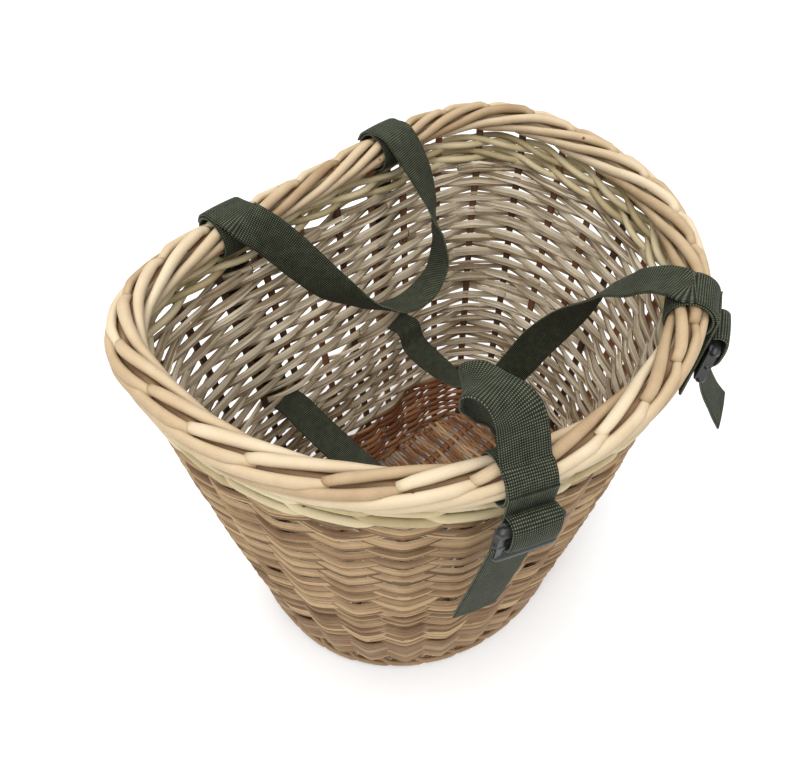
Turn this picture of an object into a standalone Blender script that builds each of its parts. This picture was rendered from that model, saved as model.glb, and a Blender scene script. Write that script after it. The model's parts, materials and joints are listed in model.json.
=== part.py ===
"""Wicker handlebar basket with webbing straps.

Metres, +Z up.  The flat side that faces the handlebar looks along +Y, the rounded nose looks along -Y,
X runs along the width, and the origin lies on the flat underside of the woven base.
"""

from math import cos, pi, radians, sin

import bmesh
import bpy
from mathutils import Vector

# ---------------------------------------------------------------- driving dimensions
BASKET_HEIGHT = 0.288  # ground to the top of the border
RIM_HALF_WIDTH = 0.161  # to the middle of the wall
RIM_BACK = 0.092  # middle of the wall, from the origin to the flat back
RIM_FRONT = 0.145  # the same, to the rounded nose
BACK_SQUARENESS = 3.5  # 2 would be an ellipse, higher is flatter with tighter corners
BACK_DIP = 0.0035  # how far the middle of the back is drawn in
BACK_DIP_REACH = 0.75  # share of the half width that the dip covers

BASE_SCALE_X = 0.77  # base outline against rim outline
BASE_SCALE_Y = 0.711
BASE_SHIFT_Y = -0.0228
WALL_BULGE = 0.0036  # how far the wall swells outwards half way up

STAKE_COUNT = 29
WALL_THICKNESS = 0.008
STAKE_WIDTH = 0.0048
STAKE_MIDDLE_OUT = -0.0010  # the stakes stand a little inside the middle of the wall
GAP = 0.0003  # between pieces that touch on the real basket

BORDER_ROD_RADIUS = 0.0046
BORDER_LAY_RADIUS = 0.0059  # from the middle of the border to the middle of each rod
BORDER_ROD_COUNT = 3
BORDER_TURNS = 9
BORDER_STEPS_PER_TURN = 9
BORDER_ABOVE_WALL = 0.004  # room for the webbing that goes round the border

WEB_WIDTH = 0.024
WEB_THICKNESS = 0.0014
WEB_WIDTH_IN_SLOT = 0.0222  # the webbing bunches a little where it passes between two stakes
WEB_CLEAR = 0.0004  # between one layer of webbing and the next

# ---------------------------------------------------------------- sizes that follow
BORDER_RADIUS = BORDER_LAY_RADIUS + BORDER_ROD_RADIUS
BORDER_MIDDLE = BASKET_HEIGHT - BORDER_RADIUS
WALL_TOP = BORDER_MIDDLE - BORDER_RADIUS - BORDER_ABOVE_WALL
TAPER_TOP = 0.266  # height at which the wall reaches the rim outline
UPSETT_TOP = 0.055
SIDING_SEAM = 0.140
WALE_TALL = 0.014
WALE_BOTTOM = WALL_TOP - WALE_TALL
BEND_HEIGHTS = (0.0, UPSETT_TOP, SIDING_SEAM, WALL_TOP)
STAKE_GROOVE_OUT = STAKE_MIDDLE_OUT + STAKE_WIDTH / 2 + GAP

BASE_THICKNESS = 0.009
BASE_STICK_COUNT = 5
BASE_STICK_WIDTH = 0.005
BASE_STICK_DEPTH = 0.004
CUTTER_EXTRA = 0.002  # how far a cutter stands clear of the face that it opens

# The stakes' counting starts half a space beside the middle of the back, clockwise seen from above.
SLOT_SPACE = 2.0  # spaces between stakes from the middle of the back to each strap slot
FRONT_SPACE = 2.4  # the same from the middle of the nose to each front strap
SLOT_HEIGHT = 0.136  # middle of the strap where it passes through the back wall
SLOT_BELOW_SEAM = 0.007
SLOT_TALL = 0.012
SLOT_WIDTH = 0.0269
STRAP_OUTSIDE_WALL = 0.0068  # middle of the wall to the strap that lies on its outer face

RING_INNER = BORDER_RADIUS + 0.0009
RING_OUTER = RING_INNER + WEB_THICKNESS
STRAP_OVER_RING = RING_OUTER + WEB_CLEAR + WEB_THICKNESS / 2

ADJUSTER_HEIGHT = 0.253  # middle of its bar
ADJUSTER_OUT = STRAP_OVER_RING + 0.0043  # bar axis, outwards from the middle of the border
ADJUSTER_WIDTH = 0.032
ADJUSTER_TALL = 0.026
ADJUSTER_DEEP = 0.005
ADJUSTER_RAIL = 0.003
ADJUSTER_CORNER = 0.004
ADJUSTER_WINDOW_CORNER = 0.0015
ADJUSTER_BAR_RADIUS = 0.0013
STRAP_END_BELOW_ADJUSTER = 0.030
WRAP_RADIUS = ADJUSTER_BAR_RADIUS + 0.0005 + WEB_THICKNESS / 2
TAIL_LENGTHS = {"left": 0.103, "right": 0.062}  # below the bar
TAIL_LEAN = 0.05  # how far a tail leans towards the wall, as a share of its length
TAIL_WRAP = 250  # degrees of the bar that a tail is folded round

HANDLE_AXIS_RISE = 0.0045  # above the top of the border
HANDLE_AXIS_IN = 0.006  # inwards from the middle of the border

OUTLINE_SAMPLES = 1440


# ---------------------------------------------------------------- looks
def material(name, colour, roughness, metallic=0.0):
    made = bpy.data.materials.new(name)
    made.use_nodes = True
    shader = made.node_tree.nodes["Principled BSDF"]
    shader.inputs["Base Color"].default_value = (*colour, 1.0)
    shader.inputs["Roughness"].default_value = roughness
    shader.inputs["Metallic"].default_value = metallic
    return made


LOOKS = {
    "buff": ((0.47, 0.34, 0.20), 0.62),
    "brown": ((0.27, 0.13, 0.065), 0.62),
    "cream": ((0.68, 0.60, 0.36), 0.55),
    "border": ((0.72, 0.56, 0.36), 0.50),
    "stake": ((0.20, 0.11, 0.06), 0.66),
    "webbing": ((0.035, 0.045, 0.030), 0.80),
    "plastic": ((0.016, 0.018, 0.018), 0.38),
}


# ---------------------------------------------------------------- mesh helpers
def add_object(name, vertices, faces, look, origin=None):
    """One closed mesh, with its faces turned outwards and its origin where asked."""
    start = origin or Vector((0.0, 0.0, 0.0))
    mesh = bpy.data.meshes.new(name)
    mesh.from_pydata([tuple(Vector(v) - start) for v in vertices], [], faces)
    shape = bmesh.new()
    shape.from_mesh(mesh)
    bmesh.ops.recalc_face_normals(shape, faces=shape.faces)
    shape.to_mesh(mesh)
    shape.free()
    made = bpy.data.objects.new(name, mesh)
    made.location = start
    bpy.context.scene.collection.objects.link(made)
    mesh.materials.append(material(name, *LOOKS[look]))
    return made


def loft(name, slices, look, closed=False, origin=None, thin=False):
    """Joins slices of equally many points; the two ends are capped unless the run is closed.

    A thin run is split into triangles alike on both of its faces, so that it keeps its thickness as it twists.
    """
    count = len(slices[0])
    vertices = [point for one in slices for point in one]
    steps = len(slices) if closed else len(slices) - 1
    faces = []
    for step in range(steps):
        here = step * count
        there = (step + 1) % len(slices) * count
        for i in range(count):
            j = (i + 1) % count
            if not thin:
                faces.append((here + i, here + j, there + j, there + i))
            elif i < count // 2:
                faces += [(here + i, here + j, there + j), (here + i, there + j, there + i)]
            else:
                faces += [(here + i, here + j, there + i), (here + j, there + j, there + i)]
    if not closed:
        faces.append(tuple(range(count)))
        faces.append(tuple(range(len(vertices) - count, len(vertices))))
    return add_object(name, vertices, faces, look, origin)


def cut(target, cutter):
    """Takes the cutter's shape out of the target."""
    cutter.hide_render = True
    cutter.display_type = "WIRE"
    boolean = target.modifiers.new("Cut", "BOOLEAN")
    boolean.operation = "DIFFERENCE"
    boolean.solver = "EXACT"
    boolean.object = cutter


def box(name, middle, size, turn=0.0, look="buff"):
    """A block turned about Z."""
    along = Vector((cos(turn), sin(turn), 0.0)) * size[0] / 2
    across = Vector((-sin(turn), cos(turn), 0.0)) * size[1] / 2
    up = Vector((0.0, 0.0, size[2] / 2))
    flat = [along + across, across - along, -along - across, along - across]
    return loft(name, [[middle + p - up for p in flat], [middle + p + up for p in flat]], look)


# ---------------------------------------------------------------- outline of the basket
def rim_point(angle):
    """Middle of the wall at rim height; the angle is clockwise from the middle of the back."""
    back = cos(angle) > 0
    power = BACK_SQUARENESS if back else 2.0
    depth = RIM_BACK if back else RIM_FRONT
    reach = abs(sin(angle) / RIM_HALF_WIDTH) ** power + abs(cos(angle) / depth) ** power
    reach = reach ** (-1.0 / power)
    x = reach * sin(angle)
    y = reach * cos(angle)
    if back:
        y -= BACK_DIP * max(0.0, 1.0 - (x / (BACK_DIP_REACH * RIM_HALF_WIDTH)) ** 2) ** 2
    return Vector((x, y, 0.0))


RIM = [rim_point(2 * pi * i / OUTLINE_SAMPLES) for i in range(OUTLINE_SAMPLES)]
RIM_LENGTHS = [0.0]
for number in range(OUTLINE_SAMPLES):
    RIM_LENGTHS.append(RIM_LENGTHS[-1] + (RIM[(number + 1) % OUTLINE_SAMPLES] - RIM[number]).length)
STAKE_SPACE = RIM_LENGTHS[-1] / STAKE_COUNT


def rim_at(length):
    """Rim point a given length along the rim, clockwise from the middle of the back."""
    length %= RIM_LENGTHS[-1]
    low, high = 0, OUTLINE_SAMPLES
    while high - low > 1:
        middle = (low + high) // 2
        if RIM_LENGTHS[middle] <= length:
            low = middle
        else:
            high = middle
    share = (length - RIM_LENGTHS[low]) / (RIM_LENGTHS[high] - RIM_LENGTHS[low])
    return RIM[low].lerp(RIM[high % OUTLINE_SAMPLES], share)


def bend_ring_point(length, height):
    """Middle of the wall on one of the heights where the wall bends."""
    depth = max(0.0, 1.0 - height / TAPER_TOP)
    rim = rim_at(length)
    base = Vector((rim.x * BASE_SCALE_X, rim.y * BASE_SCALE_Y + BASE_SHIFT_Y, 0.0))
    point = rim.lerp(base, depth)
    swell = WALL_BULGE * 4 * depth * (1 - depth)
    point += outward_at(length) * swell
    point.z = height
    return point


def outward_at(length):
    """Level direction pointing out of the basket, square to the rim."""
    step = STAKE_SPACE / 8
    along = rim_at(length + step) - rim_at(length - step)
    return Vector((-along.y, along.x, 0.0)).normalized()


def wall_frame(length, height):
    """(middle of the wall, direction along it, direction out of it); straight between two bend heights."""
    above = next((i for i, level in enumerate(BEND_HEIGHTS) if level >= height), len(BEND_HEIGHTS) - 1)
    above = max(1, above)
    low, high = BEND_HEIGHTS[above - 1], BEND_HEIGHTS[above]
    share = min(1.0, (height - low) / (high - low))
    point = bend_ring_point(length, low).lerp(bend_ring_point(length, high), share)
    point.z = height
    out = outward_at(length)
    along = Vector((out.y, -out.x, 0.0))
    return point, along, out


def on_wall(length, height, sideways=0.0, outwards=0.0):
    point, along, out = wall_frame(length, height)
    return point + along * sideways + out * outwards


def stake_length(number):
    """Position of a stake along the rim."""
    return (number + 0.5) * STAKE_SPACE


BACK_LENGTHS = {"left": -SLOT_SPACE * STAKE_SPACE, "right": SLOT_SPACE * STAKE_SPACE}
FRONT_MIDDLE = RIM_LENGTHS[-1] / 2
FRONT_LENGTHS = {
    "left": FRONT_MIDDLE + FRONT_SPACE * STAKE_SPACE,
    "right": FRONT_MIDDLE - FRONT_SPACE * STAKE_SPACE,
}
SIDES = {"left": -1.0, "right": 1.0}


# ---------------------------------------------------------------- woven body
def levels_between(bottom, top):
    return [bottom] + [level for level in BEND_HEIGHTS if bottom < level < top] + [top]


def wall_band(name, bottom, top, look):
    """A band of the wall, with an upright groove on its inner face for every stake."""
    half = WALL_THICKNESS / 2
    groove = STAKE_WIDTH / 2 + GAP
    levels = levels_between(bottom, top)
    vertices = []
    for height in levels:
        for number in range(STAKE_COUNT):
            at = stake_length(number)
            before = at - STAKE_SPACE / 2
            vertices += [
                on_wall(before, height, 0.0, half),
                on_wall(at, height, 0.0, half),
                on_wall(before, height, 0.0, -half),
                on_wall(at, height, -groove, -half),
                on_wall(at, height, -groove, STAKE_GROOVE_OUT),
                on_wall(at, height, groove, STAKE_GROOVE_OUT),
                on_wall(at, height, groove, -half),
            ]
    per_stake = 7
    per_level = per_stake * STAKE_COUNT
    outer = [0, 1]
    inner = [2, 3, 4, 5, 6]
    faces = []

    def index(level, number, corner):
        return level * per_level + (number % STAKE_COUNT) * per_stake + corner

    for level in range(len(levels) - 1):
        for number in range(STAKE_COUNT):
            for run in (outer, inner):
                ring = [(number, corner) for corner in run] + [(number + 1, run[0])]
                for here, there in zip(ring, ring[1:]):
                    faces.append(
                        (
                            index(level, *here),
                            index(level, *there),
                            index(level + 1, *there),
                            index(level + 1, *here),
                        )
                    )
    for level in (0, len(levels) - 1):
        for number in range(STAKE_COUNT):
            faces.append(
                (
                    index(level, number, 0),
                    index(level, number, 1),
                    index(level, number + 1, 0),
                    index(level, number + 1, 2),
                    index(level, number, 6),
                    index(level, number, 5),
                    index(level, number, 4),
                    index(level, number, 3),
                    index(level, number, 2),
                )
            )
    return add_object(name, vertices, faces, look)


def stake(number):
    """One upright rod with six sides, following the bends of the wall."""
    half = STAKE_WIDTH / 2
    sides = 6
    slices = []
    for height in levels_between(GAP, WALL_TOP):
        slices.append(
            [
                on_wall(
                    stake_length(number),
                    height,
                    half * cos(2 * pi * side / sides),
                    STAKE_MIDDLE_OUT + half * sin(2 * pi * side / sides),
                )
                for side in range(sides)
            ]
        )
    return loft(f"stake_{number + 1:02d}", slices, "stake")


def base_outline(height):
    inside = -WALL_THICKNESS / 2 - GAP
    return [on_wall(i * STAKE_SPACE / 2, height, 0.0, inside) for i in range(2 * STAKE_COUNT)]


def base():
    """Woven base as one slab, with the base sticks let into its upper face."""
    slab = loft("base_weave", [base_outline(0.0), base_outline(BASE_THICKNESS)], "brown")
    outline = base_outline(BASE_THICKNESS)
    back = max(point.y for point in outline)
    front = min(point.y for point in outline)
    for number in range(BASE_STICK_COUNT):
        y = front + (back - front) * (number + 1) / (BASE_STICK_COUNT + 1)
        reach = half_width_at(base_outline(0.0), y) - BASE_STICK_WIDTH
        middle = Vector((0.0, y, BASE_THICKNESS - BASE_STICK_DEPTH / 2))
        groove = box(
            f"base_groove_{number + 1}",
            middle + Vector((0.0, 0.0, CUTTER_EXTRA / 2)),
            (
                2 * reach + 2 * GAP,
                BASE_STICK_WIDTH + 2 * GAP,
                BASE_STICK_DEPTH + 2 * GAP + CUTTER_EXTRA,
            ),
        )
        cut(slab, groove)
        box(
            f"base_stick_{number + 1}",
            middle,
            (2 * reach, BASE_STICK_WIDTH, BASE_STICK_DEPTH),
            look="stake",
        )


def half_width_at(outline, y):
    """Half the width of a closed outline where it crosses a line along X."""
    crossings = []
    for first, second in zip(outline, outline[1:] + outline[:1]):
        if (first.y - y) * (second.y - y) < 0:
            share = (y - first.y) / (second.y - first.y)
            crossings.append(first.x + (second.x - first.x) * share)
    return min(abs(x) for x in crossings)


def border_rod(number):
    """One of the rods that twist round each other to form the border."""
    steps = BORDER_TURNS * BORDER_STEPS_PER_TURN
    sides = 6
    slices = []
    for step in range(steps):
        length = RIM_LENGTHS[-1] * step / steps
        lay = 2 * pi * (BORDER_TURNS * step / steps + number / BORDER_ROD_COUNT)
        point = rim_at(length)
        out = outward_at(length)
        middle = point + out * BORDER_LAY_RADIUS * cos(lay)
        middle.z = BORDER_MIDDLE + BORDER_LAY_RADIUS * sin(lay)
        slices.append(
            [
                middle
                + out * BORDER_ROD_RADIUS * cos(lay + 2 * pi * side / sides)
                + Vector((0, 0, BORDER_ROD_RADIUS * sin(lay + 2 * pi * side / sides)))
                for side in range(sides)
            ]
        )
    return loft(f"border_rod_{number + 1}", slices, "border", closed=True)


# ---------------------------------------------------------------- webbing
def ribbon(name, path, look="webbing", closed=False, origin=None):
    """Webbing along (point, direction of its width, width); its thickness is square to both."""
    slices = []
    for i, (point, across, width) in enumerate(path):
        ahead = path[(i + 1) % len(path)][0] if closed or i + 1 < len(path) else point
        behind = path[i - 1][0] if closed or i else point
        along = (ahead - behind).normalized()
        side = (across - along * across.dot(along)).normalized() * width / 2
        up = along.cross(side).normalized() * WEB_THICKNESS / 2
        slices.append([point + side + up, point - side + up, point - side - up, point + side - up])
    return loft(name, slices, look, closed, origin, thin=True)


def smooth(points, per_span):
    """Points along a smooth curve through the given ones."""
    made = []
    for i in range(len(points) - 1):
        before = points[max(0, i - 1)]
        after = points[min(len(points) - 1, i + 2)]
        for part in range(per_span):
            t = part / per_span
            made.append(
                (
                    points[i] * 2
                    + (points[i + 1] - before) * t
                    + (before * 2 - points[i] * 5 + points[i + 1] * 4 - after) * t**2
                    + (points[i] * 3 - before - points[i + 1] * 3 + after) * t**3
                )
                / 2
            )
    made.append(points[-1].copy())
    return made


def rim_loop(name, length):
    """Webbing sewn into a closed loop round the border, passing through the wall under it."""
    sides = 14
    along, out = wall_frame(length, WALL_TOP)[1:]
    point = rim_at(length)
    middle = (RING_INNER + RING_OUTER) / 2
    path = []
    for side in range(sides):
        turn = 2 * pi * side / sides
        at = point + out * middle * cos(turn)
        at.z = BORDER_MIDDLE + middle * sin(turn)
        path.append((at, along, WEB_WIDTH))
    return ribbon(name, path, closed=True)


def over_the_front(length, last_turn):
    """Strap from below its adjuster, up the outside and round the border as far as last_turn."""
    point = rim_at(length)
    out = outward_at(length)
    outside = point + out * STRAP_OVER_RING
    bottom = outside.copy()
    bottom.z = ADJUSTER_HEIGHT - STRAP_END_BELOW_ADJUSTER
    path = [bottom]
    turns = 5
    for step in range(turns + 1):
        turn = last_turn * step / turns
        at = point + out * STRAP_OVER_RING * cos(turn)
        at.z = BORDER_MIDDLE + STRAP_OVER_RING * sin(turn)
        path.append(at)
    return path


def through_the_slot(side):
    """Strap from just inside the back wall, out through its slot and up the outside to below the border."""
    length = BACK_LENGTHS[side]
    inside = on_wall(length, SLOT_HEIGHT, 0.0, -0.016)
    middle = on_wall(length, SLOT_HEIGHT, 0.0, 0.0)
    leaving = on_wall(length, SLOT_HEIGHT + 0.0005, 0.0, 0.0046)
    turning = on_wall(length, SLOT_HEIGHT + 0.0035, 0.0, 0.0072)
    rising = on_wall(length, SIDING_SEAM + 0.006, 0.0, STRAP_OUTSIDE_WALL)
    top = on_wall(length, WALL_TOP - 0.002, 0.0, STRAP_OUTSIDE_WALL)
    return [inside, middle, leaving, turning, rising, top]


# Free run of each strap inside the basket, as points and the direction of the webbing's width at each.
FREE_RUNS = {
    "left": [
        ((-0.0736, -0.1269, 0.3021), (0.91, -0.42, 0.00)),
        ((-0.0726, -0.1225, 0.3095), (0.94, -0.33, 0.00)),
        ((-0.0732, -0.1155, 0.3155), (0.98, -0.10, -0.12)),
        ((-0.0745, -0.1069, 0.3178), (0.92, 0.32, -0.20)),
        ((-0.0756, -0.0995, 0.3145), (0.80, 0.55, -0.25)),
        ((-0.0757, -0.0951, 0.3062), (0.73, 0.65, -0.22)),
        ((-0.0707, -0.0959, 0.2950), (0.71, 0.69, -0.15)),
        ((-0.0605, -0.1004, 0.2829), (0.75, 0.65, -0.10)),
        ((-0.0526, -0.1080, 0.2651), (0.95, 0.30, 0.00)),
        ((-0.0499, -0.1160, 0.2324), (1.00, 0.00, 0.00)),
        ((-0.0524, -0.1120, 0.1765), (1.00, 0.00, 0.00)),
        ((-0.0564, -0.0944, 0.1497), (1.00, 0.00, 0.00)),
        ((-0.0582, -0.0613, 0.1376), (1.00, 0.00, 0.00)),
        ((-0.0570, -0.0239, 0.1337), (1.00, 0.00, 0.00)),
        ((-0.0556, 0.0314, 0.1339), (1.00, 0.00, 0.00)),
    ],
    "right": [
        ((0.0722, -0.1168, 0.2885), (0.91, 0.42, 0.00)),
        ((0.0724, -0.1075, 0.2840), (0.89, 0.45, -0.10)),
        ((0.0708, -0.0966, 0.2750), (0.66, 0.64, -0.39)),
        ((0.0703, -0.0817, 0.2585), (0.47, 0.44, -0.76)),
        ((0.0675, -0.0669, 0.2285), (0.42, -0.18, -0.89)),
        ((0.0642, -0.0530, 0.1964), (0.23, -0.67, -0.70)),
        ((0.0621, -0.0443, 0.1700), (0.16, -0.89, -0.42)),
        ((0.0574, -0.0336, 0.1430), (0.47, -0.62, -0.62)),
        ((0.0524, -0.0114, 0.1278), (0.88, -0.10, -0.47)),
        ((0.0529, 0.0182, 0.1256), (1.00, 0.00, -0.10)),
        ((0.0549, 0.0425, 0.1278), (1.00, 0.00, 0.00)),
    ],
}
LEAVES_BORDER = {"left": radians(78), "right": radians(112)}


def strap(side):
    """The whole strap of one side, from below its adjuster to the outside of the back wall."""
    start = over_the_front(FRONT_LENGTHS[side], LEAVES_BORDER[side])
    free = FREE_RUNS[side]
    end = through_the_slot(side)
    along_front = wall_frame(FRONT_LENGTHS[side], WALL_TOP)[1]
    if along_front.x < 0:
        along_front = -along_front
    level = Vector((1.0, 0.0, 0.0))
    path = [(point, along_front, WEB_WIDTH) for point in start]
    points = smooth([start[-1], *(Vector(at) for at, _ in free), end[0]], 3)[1:-1]
    widths = smooth([along_front, *(Vector(across) for _, across in free), level], 3)[1:-1]
    for i, (point, across) in enumerate(zip(points, widths)):
        share = i / len(points)
        path.append((point, across, WEB_WIDTH + (WEB_WIDTH_IN_SLOT - WEB_WIDTH) * share))
    path += [(point, level, WEB_WIDTH_IN_SLOT) for point in end]
    return ribbon(f"strap_{side}", path)


def slot_cutter(side):
    """Opening in the back wall that a strap passes through, up to the seam above it."""
    length = BACK_LENGTHS[side]
    point, along = wall_frame(length, SLOT_HEIGHT)[:2]
    turn = Vector((1.0, 0.0)).angle_signed(Vector((along.x, along.y)))
    middle = point.copy()
    middle.z = SIDING_SEAM - SLOT_BELOW_SEAM + SLOT_TALL / 2
    through = 5 * WALL_THICKNESS
    return box(f"slot_cutter_{side}", middle, (SLOT_WIDTH, through, SLOT_TALL), -turn)


# ---------------------------------------------------------------- moving pieces
def handle_axis():
    """Point on the axis that the carry loop swings about."""
    border = rim_at(BACK_LENGTHS["right"])
    return Vector((0.0, border.y - HANDLE_AXIS_IN, BASKET_HEIGHT + HANDLE_AXIS_RISE))


# Carry loop hanging inside, as (x, y from the axis, z from the axis) and the direction of its width.
CARRY_LOOP = [
    ((-0.0630, 0.0000, 0.0000), (1.0, 0.0, 0.0)),
    ((-0.0622, -0.0045, -0.0007), (0.99, 0.04, 0.10)),
    ((-0.0600, -0.0090, -0.0032), (0.96, 0.12, 0.22)),
    ((-0.0562, -0.0126, -0.0076), (0.92, 0.18, 0.33)),
    ((-0.0508, -0.0154, -0.0145), (0.88, 0.13, 0.42)),
    ((-0.0440, -0.0192, -0.0245), (0.80, 0.02, 0.55)),
    ((-0.0363, -0.0246, -0.0370), (0.66, -0.14, 0.70)),
    ((-0.0239, -0.0341, -0.0563), (0.32, -0.28, 0.90)),
    ((-0.0121, -0.0413, -0.0702), (-0.15, -0.37, 0.92)),
    ((0.0020, -0.0500, -0.0823), (-0.48, -0.44, 0.76)),
    ((0.0186, -0.0551, -0.0880), (-0.61, -0.71, 0.34)),
    ((0.0382, -0.0561, -0.0881), (-0.13, -0.97, 0.23)),
    ((0.0579, -0.0520, -0.0801), (-0.03, -0.84, 0.55)),
    ((0.0658, -0.0450, -0.0660), (-0.30, -0.65, 0.70)),
    ((0.0675, -0.0390, -0.0550), (-0.48, -0.44, 0.76)),
    ((0.0693, -0.0319, -0.0403), (-0.76, -0.20, 0.60)),
    ((0.0672, -0.0203, -0.0204), (-0.96, 0.0, 0.27)),
    ((0.0635, -0.0060, -0.0020), (-1.0, 0.0, 0.0)),
    ((0.0630, 0.0000, 0.0000), (-1.0, 0.0, 0.0)),
]


def carry_loop():
    axis = handle_axis()
    points = smooth([axis + Vector(at) for at, _ in CARRY_LOOP], 3)
    widths = smooth([Vector(across) for _, across in CARRY_LOOP], 3)
    path = [(point, across, WEB_WIDTH) for point, across in zip(points, widths)]
    return ribbon("carry_loop", path, origin=axis)


def adjuster_frame(side):
    """(bar axis point, direction along the bar, direction outwards) of one strap adjuster."""
    length = FRONT_LENGTHS[side]
    out = outward_at(length)
    at = rim_at(length) + out * ADJUSTER_OUT
    at.z = ADJUSTER_HEIGHT
    return at, Vector((out.y, -out.x, 0.0)), out


def adjuster(side):
    """Moulded frame with a round bar across the middle of its window."""
    at, along, out = adjuster_frame(side)
    up = Vector((0.0, 0.0, 1.0))

    def ring(half_width, half_height, depth, corner):
        points = []
        for quarter in range(4):
            middle_turn = pi / 2 * quarter + pi / 4
            sign_x = 1 if cos(middle_turn) > 0 else -1
            sign_z = 1 if sin(middle_turn) > 0 else -1
            for part in range(3):
                turn = pi / 2 * quarter + pi / 4 * part
                x = sign_x * (half_width - corner) + corner * cos(turn)
                z = sign_z * (half_height - corner) + corner * sin(turn)
                points.append(at + along * x + up * z + out * depth)
        return points

    half_width = ADJUSTER_WIDTH / 2
    half_height = ADJUSTER_TALL / 2
    half_deep = ADJUSTER_DEEP / 2
    window_width = half_width - ADJUSTER_RAIL
    window_height = half_height - ADJUSTER_RAIL
    frame = loft(
        f"adjuster_{side}",
        [
            ring(half_width, half_height, -half_deep, ADJUSTER_CORNER),
            ring(half_width, half_height, half_deep, ADJUSTER_CORNER),
            ring(window_width, window_height, half_deep, ADJUSTER_WINDOW_CORNER),
            ring(window_width, window_height, -half_deep, ADJUSTER_WINDOW_CORNER),
        ],
        "plastic",
        closed=True,
        origin=at,
    )
    sides = 10
    reach = half_width - ADJUSTER_RAIL / 2
    bar = loft(
        f"adjuster_bar_{side}",
        [
            [
                at
                + along * end * reach
                + (out * cos(2 * pi * i / sides) + up * sin(2 * pi * i / sides)) * ADJUSTER_BAR_RADIUS
                for i in range(sides)
            ]
            for end in (-1, 1)
        ],
        "plastic",
    )
    bar.hide_render = True
    bar.display_type = "WIRE"
    joined = frame.modifiers.new("Bar", "BOOLEAN")
    joined.operation = "UNION"
    joined.solver = "EXACT"
    joined.object = bar
    return frame


def tail(side):
    """Free end of the strap: folded round the adjuster's bar, then hanging from it."""
    total_length = TAIL_LENGTHS[side]
    at, along, out = adjuster_frame(side)
    up = Vector((0.0, 0.0, 1.0))
    wrap_steps = 8
    path = []
    for step in range(wrap_steps + 1):
        turn = radians(TAIL_WRAP) * (1 - step / wrap_steps)
        point = at + (out * cos(turn) + up * sin(turn)) * WRAP_RADIUS
        path.append((point, along, WEB_WIDTH))
    clear_of_frame = ADJUSTER_DEEP / 2 + 0.0012 + WEB_THICKNESS / 2
    half_height = ADJUSTER_TALL / 2
    # From the bar, out over the lower rail of the frame and down, as (outwards, drop).
    for outwards, drop in (
        (WRAP_RADIUS + 0.0010, 0.0035),
        (clear_of_frame, half_height * 0.62),
        (clear_of_frame + 0.0006, half_height + 0.001),
        (clear_of_frame - 0.0010, half_height + total_length * 0.2),
        (-TAIL_LEAN * total_length, total_length),
    ):
        path.append((at + out * outwards - up * drop, along, WEB_WIDTH))
    return ribbon(f"strap_tail_{side}", path, origin=at)


# ---------------------------------------------------------------- the whole basket
def clear_scene():
    for old in list(bpy.data.objects):
        bpy.data.objects.remove(old, do_unlink=True)


def build():
    clear_scene()
    base()
    wall_band("upsett_band", 0.0, UPSETT_TOP - GAP, "brown")
    lower = wall_band("siding_lower", UPSETT_TOP, SIDING_SEAM - GAP, "buff")
    wall_band("siding_upper", SIDING_SEAM, WALE_BOTTOM - GAP, "buff")
    wall_band("top_wale", WALE_BOTTOM, WALL_TOP, "cream")
    for number in range(STAKE_COUNT):
        stake(number)
    for number in range(BORDER_ROD_COUNT):
        border_rod(number)
    for side in SIDES:
        cut(lower, slot_cutter(side))
        rim_loop(f"rim_loop_back_{side}", BACK_LENGTHS[side])
        rim_loop(f"rim_loop_front_{side}", FRONT_LENGTHS[side])
        strap(side)
        adjuster(side)
        tail(side)
    carry_loop()


build()
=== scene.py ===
"""Looks of the woven handlebar basket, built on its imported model.

Metres, +Z up.  The flat back looks along +Y and the rounded nose along -Y.  Places round the wall are counted
in stakes, clockwise seen from above: stake_01 is 0, stake_02 is 1, and 28.5 is half way back to stake_01.
"""

import json
from math import asin, cos, pi, radians, sin

import bpy
import numpy as np
from mathutils import Matrix, Vector


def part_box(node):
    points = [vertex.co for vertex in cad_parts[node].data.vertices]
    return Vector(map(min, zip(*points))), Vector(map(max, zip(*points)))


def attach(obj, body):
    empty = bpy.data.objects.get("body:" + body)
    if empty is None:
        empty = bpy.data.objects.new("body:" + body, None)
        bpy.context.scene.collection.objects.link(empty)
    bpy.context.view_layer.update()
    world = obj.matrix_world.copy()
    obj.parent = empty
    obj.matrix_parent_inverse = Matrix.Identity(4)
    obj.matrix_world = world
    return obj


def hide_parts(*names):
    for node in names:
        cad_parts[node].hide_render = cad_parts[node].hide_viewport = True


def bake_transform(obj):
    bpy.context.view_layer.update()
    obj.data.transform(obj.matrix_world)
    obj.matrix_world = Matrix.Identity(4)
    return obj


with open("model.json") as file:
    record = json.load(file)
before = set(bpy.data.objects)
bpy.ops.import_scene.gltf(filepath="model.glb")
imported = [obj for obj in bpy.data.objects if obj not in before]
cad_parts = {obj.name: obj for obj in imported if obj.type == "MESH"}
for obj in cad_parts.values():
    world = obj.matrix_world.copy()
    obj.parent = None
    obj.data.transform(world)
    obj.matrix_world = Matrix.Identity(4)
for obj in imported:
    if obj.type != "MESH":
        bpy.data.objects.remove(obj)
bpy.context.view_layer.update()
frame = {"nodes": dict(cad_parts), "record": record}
chance = np.random.default_rng(29)

# ---------------------------------------------------------------- sizes read from the frame
JOINTS = {joint["name"]: joint for joint in frame["record"]["behaviour"]["joints"]}
STAKES = sorted(name for name in frame["nodes"] if name.startswith("stake_"))
RODS = sorted(name for name in frame["nodes"] if name.startswith("border_rod_"))
BASE_STICKS = sorted(name for name in frame["nodes"] if name.startswith("base_stick_"))
COUNT = len(STAKES)
NOSE = (COUNT - 1) / 2  # the stake in the middle of the rounded front

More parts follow.
